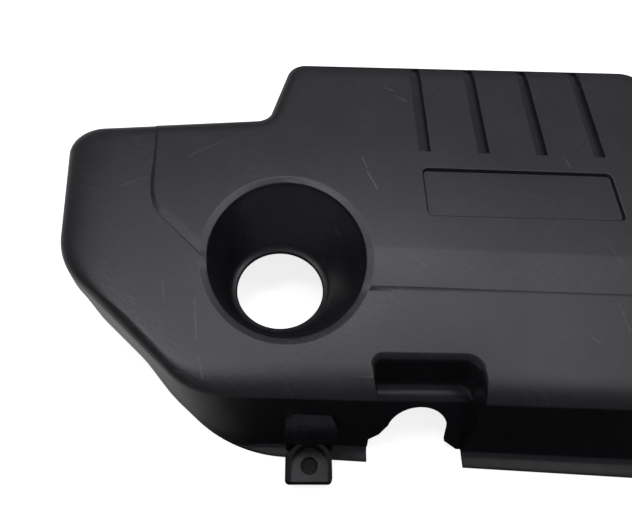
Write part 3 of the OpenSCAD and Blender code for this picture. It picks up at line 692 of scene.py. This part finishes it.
def moulded_plastic():
    """Glass-filled polyamide, injection moulded: near black, with a fine even grain, a soft sheen and light scuffs."""
    material = bpy.data.materials.new("moulded polyamide, fine grain")
    material.use_nodes = True
    tree = material.node_tree
    shader = tree.nodes["Principled BSDF"]
    place = add(tree, "ShaderNodeTexCoord").outputs["Object"]
    shader.inputs["IOR"].default_value = 1.52
    # The grain of the mould is about 0.3 mm and drawn at 1.2 mm, so that it shows at this distance.
    grain = add(tree, "ShaderNodeTexNoise", {"Vector": place, "Scale": 820.0, "Detail": 2.0, "Roughness": 0.6})
    # The wall is a little uneven over 60 mm, from cooling in the mould.
    sink = add(tree, "ShaderNodeTexNoise", {"Vector": place, "Scale": 16.0, "Detail": 1.0})
    soft = add(tree, "ShaderNodeBump", {"Height": sink.outputs["Fac"], "Strength": 0.3, "Distance": 0.0006})
    fine = add(tree, "ShaderNodeBump", {"Height": grain.outputs["Fac"], "Strength": 0.35, "Distance": 0.00012,
                                        "Normal": soft.outputs["Normal"]})
    tree.links.new(fine.outputs["Normal"], shader.inputs["Normal"])
    dust = add(tree, "ShaderNodeTexNoise", {"Vector": place, "Scale": 9.0, "Detail": 5.0, "Roughness": 0.65})
    # Scuffs in two directions, in patches of some 40 mm and thickest in the rubbed zones
    patches = add(tree, "ShaderNodeTexNoise", {"Vector": place, "Scale": 26.0, "Detail": 2.0})
    zone = add(tree, "ShaderNodeMapRange", {"Value": patches.outputs["Fac"], "From Min": 0.42, "From Max": 0.68,
                                            "To Min": 0.1, "To Max": 0.45}).outputs[0]
    for start, end, reach, strength in RUBBED:
        rubbed = near_line(tree, place, start, end, 2, reach, strength)
        zone = add(tree, "ShaderNodeMath", {0: zone, 1: rubbed}, operation="MAXIMUM").outputs[0]
    lines = add(tree, "ShaderNodeMath", {0: hairlines(tree, place, -34, 1.2, 7, 0.17),
                                         1: hairlines(tree, place, 52, 1.3, 4, 0.085)}, operation="MAXIMUM")
    scuffs = add(tree, "ShaderNodeMath", {0: lines.outputs[0], 1: zone}, operation="MULTIPLY")
    # Single scratches, broken up by the grain
    deepest = 0.0
    for start, end, width, strength in SCRATCHES:
        line = near_line(tree, place, start, end, width * 0.2, width, strength * 0.55)
        deepest = add(tree, "ShaderNodeMath", {0: deepest, 1: line}, operation="MAXIMUM").outputs[0]
    broken = add(tree, "ShaderNodeMapRange", {"Value": grain.outputs["Fac"], "From Min": 0.35, "From Max": 0.6})
    scratches = add(tree, "ShaderNodeMath", {0: deepest, 1: broken.outputs[0]}, operation="MULTIPLY")
    # Grains of dust of about 0.5 mm, some 40 mm apart
    cells = add(tree, "ShaderNodeTexVoronoi", {"Vector": place, "Scale": 38.0})
    cell_tone = add(tree, "ShaderNodeSeparateColor", {0: cells.outputs["Color"]})
    chosen = add(tree, "ShaderNodeMath", {0: cell_tone.outputs[0], 1: 0.72}, operation="GREATER_THAN")
    grains = add(tree, "ShaderNodeMapRange", {"Value": cells.outputs["Distance"], "From Min": 0.03, "From Max": 0.015,
                                              "To Min": 0.0, "To Max": 0.55})
    specks = add(tree, "ShaderNodeMath", {0: grains.outputs[0], 1: chosen.outputs[0]}, operation="MULTIPLY")
    worn_away = add(tree, "ShaderNodeMath", {0: scuffs.outputs[0], 1: scratches.outputs[0]}, operation="MAXIMUM")
    wear = add(tree, "ShaderNodeMath", {0: worn_away.outputs[0], 1: specks.outputs[0]}, operation="MAXIMUM").outputs[0]
    tone = add(tree, "ShaderNodeMix", {0: dust.outputs["Fac"], 6: linear("#101114"), 7: linear("#16171b")},
               data_type="RGBA")
    worn = add(tree, "ShaderNodeMix", {0: wear, 6: tone.outputs[2], 7: linear("#8a8a8c")}, data_type="RGBA")
    tree.links.new(worn.outputs[2], shader.inputs["Base Color"])
    rough = add(tree, "ShaderNodeMapRange", {"Value": dust.outputs["Fac"], "From Min": 0.3, "From Max": 0.7,
                                             "To Min": 0.30, "To Max": 0.38})
    rougher = add(tree, "ShaderNodeMath", {0: wear, 1: 0.3, 2: rough.outputs["Result"]}, operation="MULTIPLY_ADD")
    tree.links.new(rougher.outputs[0], shader.inputs["Roughness"])
    return material


def grommet_rubber():
    """Soft EPDM rubber, compression moulded: black and dull, with a fine bloom."""
    material = bpy.data.materials.new("EPDM rubber, matt")
    material.use_nodes = True
    tree = material.node_tree
    shader = tree.nodes["Principled BSDF"]
    place = add(tree, "ShaderNodeTexCoord").outputs["Object"]
    shader.inputs["Base Color"].default_value = linear("#0d0d0d")
    bloom = add(tree, "ShaderNodeTexNoise", {"Vector": place, "Scale": 400.0, "Detail": 3.0})
    rough = add(tree, "ShaderNodeMapRange", {"Value": bloom.outputs["Fac"], "To Min": 0.62, "To Max": 0.85})
    tree.links.new(rough.outputs["Result"], shader.inputs["Roughness"])
    relief = add(tree, "ShaderNodeBump", {"Height": bloom.outputs["Fac"], "Strength": 0.3, "Distance": 0.0001})
    tree.links.new(relief.outputs["Normal"], shader.inputs["Normal"])
    return material


plastic = moulded_plastic()
rubber = grommet_rubber()


def outside():
    """The outer form of the moulding, still solid."""
    body = solid("cover", form_rings(0, 0))
    for tool in (surround_space(0), pocket_space(0)):
        combine(body, tool, "DIFFERENCE")
    for x in GROOVE_X:
        combine(body, groove_space(x, 0), "DIFFERENCE")
    combine(body, recess_space(0), "DIFFERENCE")
    lug = lug_form(0)
    combine(lug, niche_space(0), "DIFFERENCE")
    return combine(body, lug, "UNION")


def cavity():
    """The hollow under the cover, less the ribs, the stalks of the sockets and the walls round each opening."""
    hollow = solid("cavity", form_rings(WALL, -1))
    combine(hollow, lug_form(WALL), "UNION")
    for tool in (surround_space(WALL), pocket_space(WALL), niche_space(WALL), recess_space(WALL)):
        combine(hollow, tool, "DIFFERENCE")
    for x in GROOVE_X:
        combine(hollow, groove_space(x, WALL), "DIFFERENCE")
    combine(hollow, funnel_space(WALL), "DIFFERENCE")
    for x, y in INNER_SOCKETS:
        combine(hollow, along_z("stalk", circle(x, y, SOCKET_R, 48), SOCKET_Z, HEIGHT), "DIFFERENCE")
        for w, l in ((GUSSET_SPAN, RIB_T), (RIB_T, GUSSET_SPAN)):
            low = SOCKET_Z + GROMMET_H + 4
            gusset = [(x - w / 2, y - l / 2), (x + w / 2, y - l / 2), (x + w / 2, y + l / 2), (x - w / 2, y + l / 2)]
            combine(hollow, along_z("gusset", gusset, low, HEIGHT), "DIFFERENCE")
    combine(hollow, along_z("lug socket", circle(LUG_X, EYE_Y, SOCKET_R, 48), 2, LUG_FLOOR_Z - 2), "DIFFERENCE")
    rows = rib_rows()
    middle_z = HEIGHT - WALL - RIB_H + (RIB_H + WALL) / 2
    across = rib_set(rows, 9, (-RIB_PITCH * 4, RIB_MIDDLE[1], middle_z), (RIB_PITCH, 0, 0),
                     (RIB_T, RIB_ACROSS, RIB_H + WALL), plastic)
    combine(hollow, across, "DIFFERENCE")
    lengthways = rib_set(rows, 6, (RIB_MIDDLE[0], -RIB_PITCH * 2, middle_z), (0, RIB_PITCH, 0),
                         (RIB_LENGTHWAYS, RIB_T, RIB_H + WALL), plastic)
    return combine(hollow, lengthways, "DIFFERENCE")


def moulding():
    """The finished shell, with its hole, arch, bores and eye."""
    shell = combine(outside(), cavity(), "DIFFERENCE")
    combine(shell, hole_wall(), "UNION")
    combine(shell, funnel_space(0), "DIFFERENCE")
    # The hole's upper edge is rounded over into the rim.
    edge = [(0, -60), (0, -2.7), (0.1, -2.1), (0.3, -1.7), (0.6, -1.3), (1, -1.0), (1, 2)]
    hole = solid("hole", [[(x, y, LIP_Z + up) for x, y in oval(HOLE, HOLE_R, HOLE_R, grow, 144)] for grow, up in edge])
    combine(shell, hole, "DIFFERENCE")
    combine(shell, arch_space(), "DIFFERENCE")
    combine(shell, wing_rim_space(), "DIFFERENCE")
    bores = [(x, y, SOCKET_BORE_R, SOCKET_Z - 1, SOCKET_Z + GROMMET_H) for x, y in INNER_SOCKETS]
    bores += [(LUG_X, EYE_Y, SOCKET_BORE_R, -1, LUG_FLOOR_Z - LUG_FLOOR_T), (LUG_X, EYE_Y, EYE_R, -1, LUG_FLOOR_Z + 1)]
    for x, y, r, low, high in bores:
        combine(shell, along_z("bore", circle(x, y, r, 64), low, high), "DIFFERENCE")
    return shell


def finish_surface(piece, material):
    """Smooth shading that keeps real edges, with flat faces kept flat."""
    mesh = piece.data
    shape = bmesh.new()
    shape.from_mesh(mesh)
    bmesh.ops.remove_doubles(shape, verts=shape.verts, dist=0.00001)
    bmesh.ops.dissolve_degenerate(shape, edges=shape.edges, dist=0.00001)
    bmesh.ops.triangulate(shape, faces=[f for f in shape.faces if len(f.verts) > 4])
    shape.to_mesh(mesh)
    shape.free()
    mesh.shade_smooth()
    mesh.set_sharp_from_angle(angle=SHARP)
    weighted = piece.modifiers.new("weighted", "WEIGHTED_NORMAL")
    weighted.keep_sharp = True
    weighted.weight = 80
    baked = bpy.data.meshes.new_from_object(piece.evaluated_get(bpy.context.evaluated_depsgraph_get()))
    piece.modifiers.remove(weighted)
    piece.data = baked
    baked.materials.clear()
    baked.materials.append(material)
    return piece


cover = finish_surface(moulding(), plastic)
cover.name = "cover_moulding"
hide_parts("cover_shell")
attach(cover, "root")

for name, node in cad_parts.items():
    if name.startswith("grommet"):
        node.data.materials.clear()
        node.data.materials.append(rubber)


def camera():
    """The photograph's view, solved from the round hole and the straight walls."""
    right = Vector((0.99806, -0.00949, 0.06136))
    down = Vector((0.02246, -0.8659, -0.49977))
    forward = Vector((0.05789, 0.5002, -0.86398))
    data = bpy.data.cameras.new("camera")
    data.sensor_width = 36
    data.lens = data.sensor_width * FOCAL / PICTURE_W
    made = bpy.data.objects.new("camera", data)
    bpy.context.scene.collection.objects.link(made)
    turn = Matrix((right, -down, -forward)).transposed().to_4x4()
    made.matrix_world = Matrix.Translation(Vector(CAMERA_PLACE) * MM) @ turn
    bpy.context.scene.camera = made


def floor():
    """A white floor to the camera. To the part it is a pale sheet on the left that fades to a dark table.

    The photograph shows that: the wall on the left mirrors something pale, and the front walls are near black."""
    shape = bmesh.new()
    bmesh.ops.create_grid(shape, x_segments=1, y_segments=1, size=4)
    mesh = bpy.data.meshes.new("floor")
    shape.to_mesh(mesh)
    shape.free()
    made = bpy.data.objects.new("floor", mesh)
    bpy.context.scene.collection.objects.link(made)
    made.location.z = -0.0003
    material = bpy.data.materials.new("pale studio floor")
    material.use_nodes = True
    tree = material.node_tree
    tree.nodes.clear()
    rays = add(tree, "ShaderNodeLightPath")
    place = add(tree, "ShaderNodeTexCoord").outputs["Object"]
    across = add(tree, "ShaderNodeSeparateXYZ", {0: place}).outputs["X"]
    sheet = add(tree, "ShaderNodeMapRange", {"Value": across, "From Min": -0.12, "From Max": -0.29,
                                             "To Min": 0.012, "To Max": 0.55}, interpolation_type="SMOOTHSTEP")
    table = add(tree, "ShaderNodeEmission", {"Color": (1, 1, 1, 1), "Strength": sheet.outputs["Result"]})
    # What the camera sees is white where the lamps reach the floor, and a little darker in the part's shadow.
    lit = add(tree, "ShaderNodeBsdfDiffuse", {"Color": (0.8, 0.8, 0.8, 1)})
    glow = add(tree, "ShaderNodeAddShader", {0: add(tree, "ShaderNodeEmission", {"Strength": 0.82}).outputs[0],
                                             1: lit.outputs[0]})
    seen = add(tree, "ShaderNodeMath", {0: rays.outputs["Is Camera Ray"], 1: rays.outputs["Is Transmission Ray"]},
               operation="MAXIMUM")
    mixed = add(tree, "ShaderNodeMixShader", {0: seen.outputs[0], 1: table.outputs[0], 2: glow.outputs[0]})
    add(tree, "ShaderNodeOutputMaterial", {"Surface": mixed.outputs[0]})
    mesh.materials.append(material)


def lamp(name, low, high, height, power):
    """A flat softbox that hangs level over the part, between two corners of the plan."""
    data = bpy.data.lights.new(name, "AREA")
    data.shape = "RECTANGLE"
    data.size, data.size_y = high[0] - low[0], high[1] - low[1]
    data.energy = power
    data.color = (0.98, 0.99, 1)
    made = bpy.data.objects.new(name, data)
    bpy.context.scene.collection.objects.link(made)
    made.location = ((low[0] + high[0]) / 2, (low[1] + high[1]) / 2, height)


def studio():
    """Soft lamps over the part, and a world that is white to the camera."""
    world = bpy.data.worlds.new("studio")
    bpy.context.scene.world = world
    world.use_nodes = True
    tree = world.node_tree
    tree.nodes.clear()
    rays = add(tree, "ShaderNodeLightPath")
    dim = add(tree, "ShaderNodeBackground", {"Color": (0.195, 0.197, 0.215, 1), "Strength": 1.0})
    white = add(tree, "ShaderNodeBackground", {"Color": (1, 1, 1, 1), "Strength": 1.0})
    mixed = add(tree, "ShaderNodeMixShader", {0: rays.outputs["Is Camera Ray"], 1: dim.outputs[0],
                                              2: white.outputs[0]})
    add(tree, "ShaderNodeOutputWorld", {"Surface": mixed.outputs[0]})
    lamp("overhead softbox", (-0.25, 0.25), (0.5, 0.95), 1.5, 4.57)
    lamp("left front softbox", (-1.0, -0.05), (-0.25, 0.25), 1.5, 3.92)
    lamp("left middle softbox", (-1.0, 0.25), (-0.25, 0.65), 1.5, 0.83)
    lamp("left back softbox", (-1.0, 0.65), (-0.25, 0.95), 1.5, 1.35)
    lamp("left end softbox", (-1.6, 0.25), (-1.0, 0.95), 1.5, 1.5)
    lamp("right front softbox", (0.5, -0.05), (1.3, 0.45), 1.5, 2.88)
    lamp("right back softbox", (0.5, 0.45), (1.3, 0.95), 1.5, 1.65)
    lamp("back fill", (-0.9, 1.5), (2.1, 3.1), 2.0, 3.8)


camera()
floor()
studio()
bpy.context.scene.view_settings.view_transform = "Standard"
